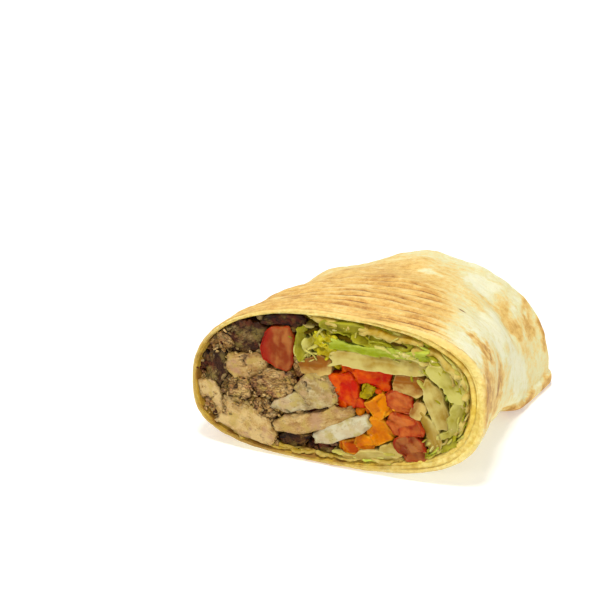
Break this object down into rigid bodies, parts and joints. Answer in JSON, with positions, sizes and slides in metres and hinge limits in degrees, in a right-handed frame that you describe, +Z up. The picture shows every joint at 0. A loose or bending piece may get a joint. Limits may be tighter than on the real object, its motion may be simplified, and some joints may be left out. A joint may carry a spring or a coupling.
{
  "type": "gyro wrap half",
  "caption": "Half of a gyro wrap: toasted flatbread rolled round grilled meat, cabbage, lettuce, tomato, carrot and pepper, cut across, with the other end folded shut.",
  "frame": {"origin": "middle of the footprint, on the surface that the wrap rests on", "axes": "+X across the cut face to its salad side, +Y from the cut face to the folded end, +Z up"},
  "size_m": [0.0846, 0.0702, 0.047],
  "materials": {
    "bread": "toasted, matte, browned in patches",
    "browned_meat": "dark seasoned crust, slightly moist",
    "cabbage": "crisp, moist shreds",
    "carrot": "moist, crisp cut faces",
    "lettuce": "crisp, moist leaf",
    "meat": "moist, fibrous",
    "onion": "translucent, moist",
    "red_pepper": "wet, glossy",
    "tomato": "wet flesh",
    "yellow_pepper": "moist"
  },
  "bodies": {
    "root": {"cabbage_strip_01": "cabbage", "cabbage_strip_02": "cabbage", "cabbage_strip_03": "cabbage", "cabbage_strip_04": "cabbage", "cabbage_strip_05": "cabbage", "carrot_01": "carrot", "carrot_02": "carrot", "carrot_03": "carrot", "carrot_04": "carrot", "flatbread": "bread", "lettuce_01": "lettuce", "lettuce_02": "lettuce", "lettuce_03": "lettuce", "lettuce_04": "lettuce", "lettuce_05": "lettuce", "lettuce_06": "lettuce", "lettuce_07": "lettuce", "lettuce_08": "lettuce", "meat_01": "meat", "meat_02": "meat", "meat_03": "meat", "meat_04": "meat", "meat_05": "meat", "meat_06": "meat", "meat_07": "meat", "meat_08": "meat", "meat_browned_01": "browned_meat", "meat_browned_02": "browned_meat", "meat_browned_03": "browned_meat", "meat_browned_04": "browned_meat", "meat_strip_01": "meat", "meat_strip_02": "meat", "meat_strip_03": "meat", "onion_01": "onion", "onion_02": "onion", "onion_03": "onion", "red_pepper_01": "red_pepper", "red_pepper_02": "red_pepper", "seasoned_filling": "browned_meat", "shredded_salad": "cabbage", "tomato_01": "tomato", "tomato_02": "tomato", "tomato_03": "tomato", "tomato_wedge_01": "tomato", "yellow_pepper_01": "yellow_pepper", "yellow_pepper_02": "yellow_pepper"}
  },
  "joints": []
}
